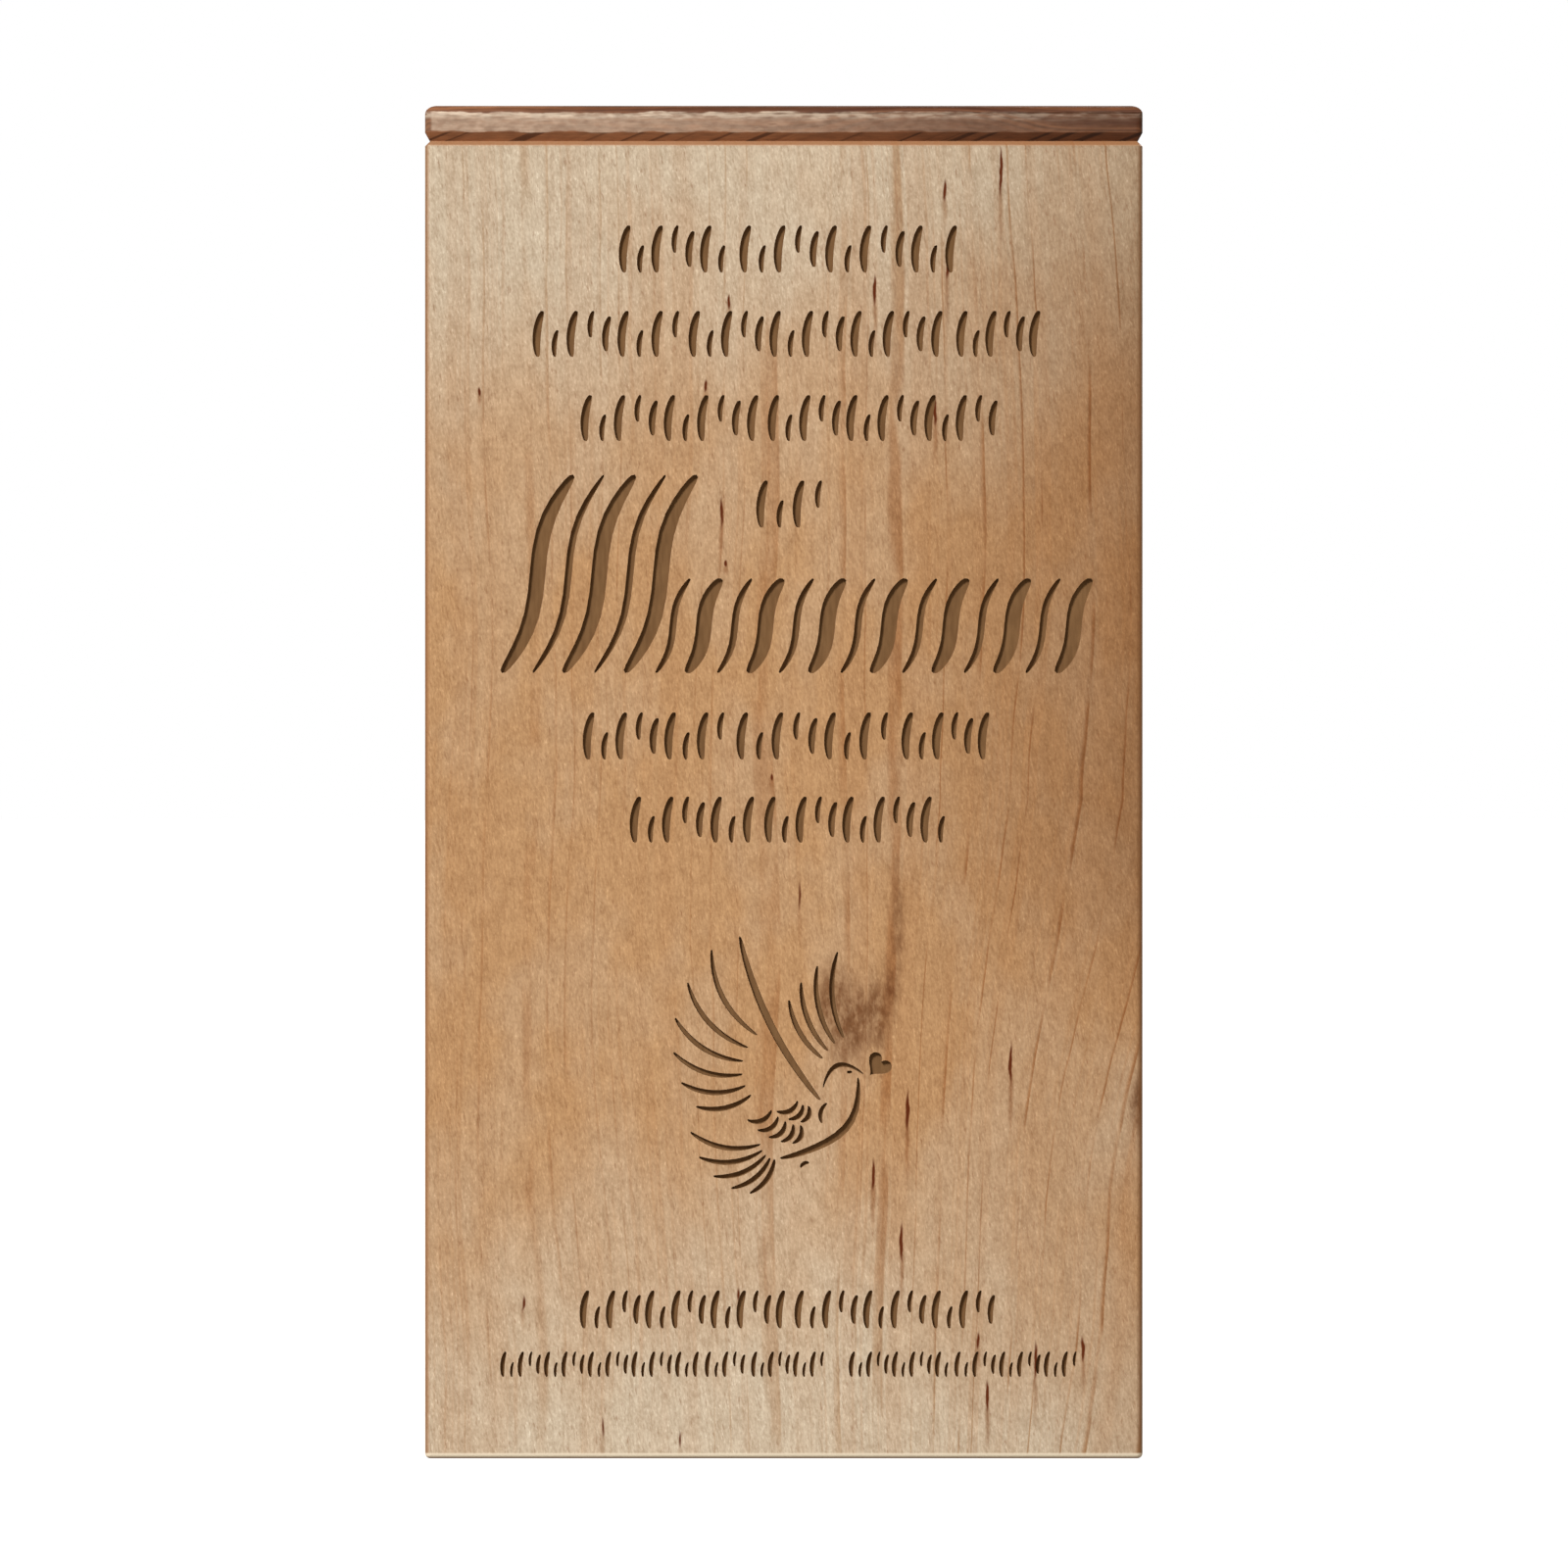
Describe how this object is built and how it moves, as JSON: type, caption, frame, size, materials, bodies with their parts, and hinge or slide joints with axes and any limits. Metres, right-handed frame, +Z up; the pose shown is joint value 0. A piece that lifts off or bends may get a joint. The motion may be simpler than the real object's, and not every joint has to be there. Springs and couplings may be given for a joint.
{
  "type": "cremation urn box",
  "caption": "Tall square wooden urn box with mitred boards, a groove-held base, an engraved front and a darker lift-off lid with a locating tongue.",
  "frame": {"origin": "on the surface the box stands on, under the middle of its footprint", "axes": "+Z up through the lid, -Y towards the engraved front, +X to the right of someone facing the front"},
  "size_m": [0.14, 0.14, 0.264],
  "materials": {
    "pale_wood": "satin",
    "dark_wood": "satin"
  },
  "bodies": {
    "root": {"front_panel": "pale_wood", "back_panel": "pale_wood", "left_panel": "pale_wood", "right_panel": "pale_wood", "base_board": "pale_wood", "lid": "dark_wood"}
  },
  "joints": []
}
